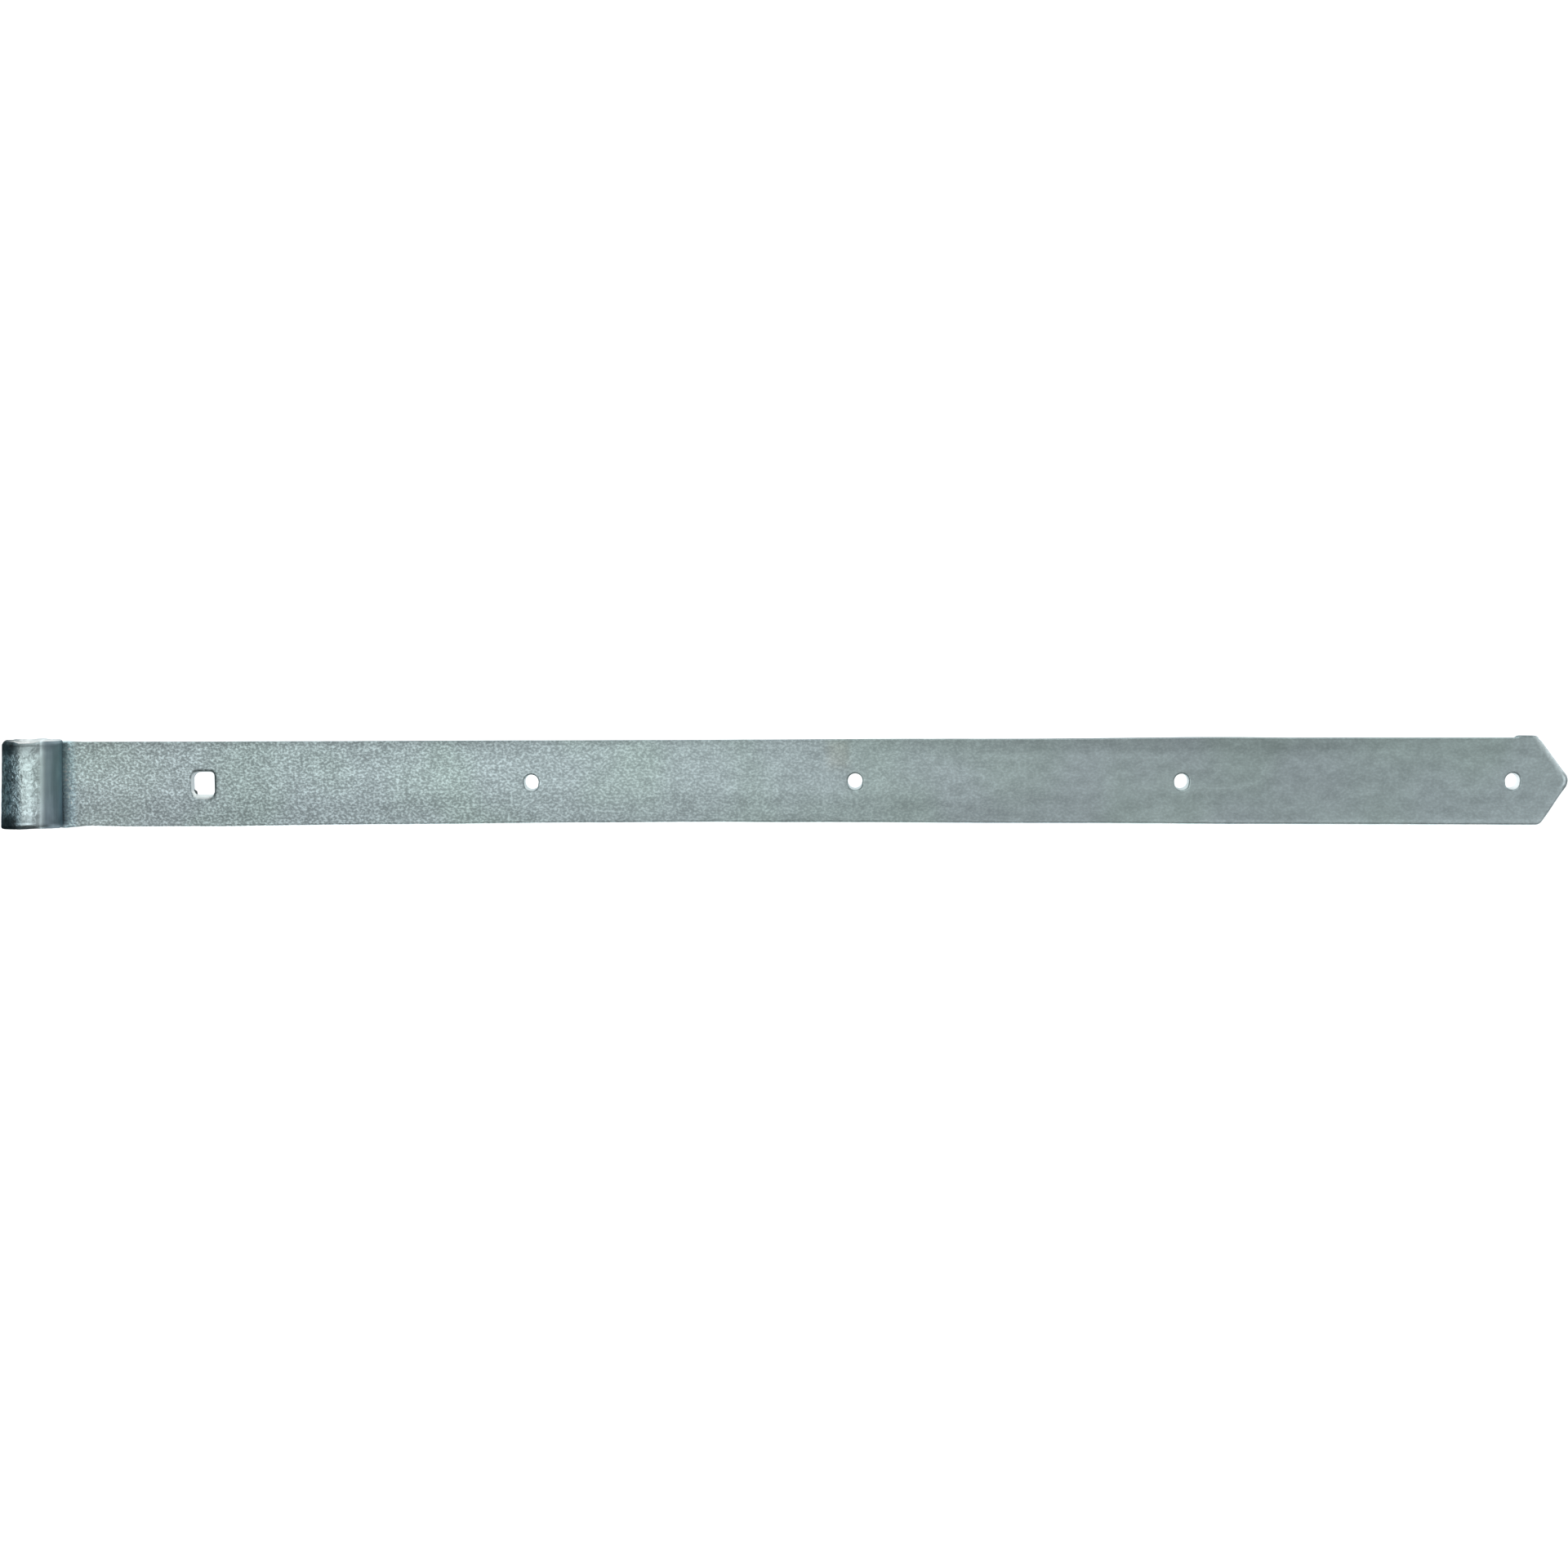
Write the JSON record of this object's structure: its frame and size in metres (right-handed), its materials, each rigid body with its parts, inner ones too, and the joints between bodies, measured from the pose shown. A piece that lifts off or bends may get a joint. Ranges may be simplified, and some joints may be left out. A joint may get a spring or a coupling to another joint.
{
  "type": "strap hinge band",
  "caption": "Galvanised gate hinge band: a flat steel bar rolled into an eye for a hook's pin, cut to a blunt point, with a square bolt hole and a row of round screw holes.",
  "frame": {"origin": "on the axis of the rolled eye, halfway across the band's width", "axes": "+X along the band from the eye to the tip, +Y along the eye's bore, +Z out of the front face, the side that the eye stands proud of"},
  "size_m": [0.7499, 0.04, 0.0264],
  "materials": {
    "galvanised_steel": "hot-dip galvanised: matt to satin zinc grey with a fine sparkling grain that fades towards the tip"
  },
  "bodies": {
    "root": {"band": "galvanised_steel"}
  },
  "joints": []
}
